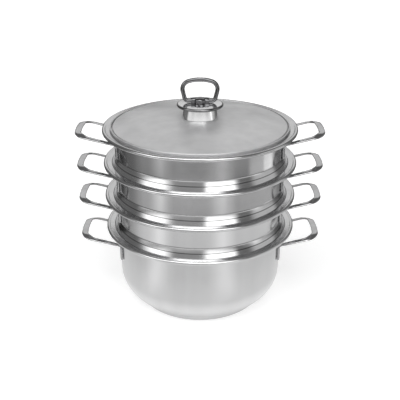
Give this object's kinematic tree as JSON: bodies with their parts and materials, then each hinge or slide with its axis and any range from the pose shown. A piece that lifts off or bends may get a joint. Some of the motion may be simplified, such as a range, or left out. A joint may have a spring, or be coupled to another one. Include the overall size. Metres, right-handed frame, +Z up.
{
  "type": "multi-tier steamer pot",
  "caption": "Stainless steel steamer: a deep pot with perforated steaming tiers stacked on it, strap handles and a domed lid with a bail knob.",
  "frame": {"origin": "centre of the underside of the pot's base, on the surface that it stands on", "axes": "+Z up through the stack, +X towards the right-hand handles, -Y towards the front"},
  "size_m": [0.3818, 0.3006, 0.3653],
  "materials": {
    "pot_steel": "satin",
    "tier_steel": "half-polished, with faint upright streaks",
    "lid_steel": "soft satin, faintly cloudy",
    "handle_steel": "polished stainless steel",
    "knob_steel": "polished stainless steel",
    "fastener_steel": "plain",
    "core_aluminium": "matt"
  },
  "bodies": {
    "pot": {"pot_shell": "pot_steel", "pot_base_core": "core_aluminium", "pot_base_cap": "pot_steel", "pot_handle_left": "handle_steel", "pot_handle_right": "handle_steel"},
    "lower_tier": {"lower_tier_shell": "tier_steel", "lower_tier_handle_left": "handle_steel", "lower_tier_handle_right": "handle_steel"},
    "middle_tier": {"middle_tier_shell": "tier_steel", "middle_tier_handle_left": "handle_steel", "middle_tier_handle_right": "handle_steel"},
    "upper_tier": {"upper_tier_shell": "tier_steel", "upper_tier_handle_left": "handle_steel", "upper_tier_handle_right": "handle_steel"},
    "lid": {"lid_shell": "lid_steel", "knob_pedestal": "knob_steel", "knob_disc": "knob_steel", "knob_bail": "knob_steel", "knob_saddle": "knob_steel", "knob_screw": "fastener_steel", "knob_washer": "fastener_steel"}
  },
  "joints": [
    {"name": "lower_tier_lift", "type": "slide", "parent": "pot", "child": "lower_tier", "axis": [0, 0, 1], "range_m": [0, 0.1]},
    {"name": "middle_tier_lift", "type": "slide", "parent": "lower_tier", "child": "middle_tier", "axis": [0, 0, 1], "range_m": [0, 0.1]},
    {"name": "upper_tier_lift", "type": "slide", "parent": "middle_tier", "child": "upper_tier", "axis": [0, 0, 1], "range_m": [0, 0.1]},
    {"name": "lid_lift", "type": "slide", "parent": "upper_tier", "child": "lid", "axis": [0, 0, 1], "range_m": [0, 0.1]}
  ]
}
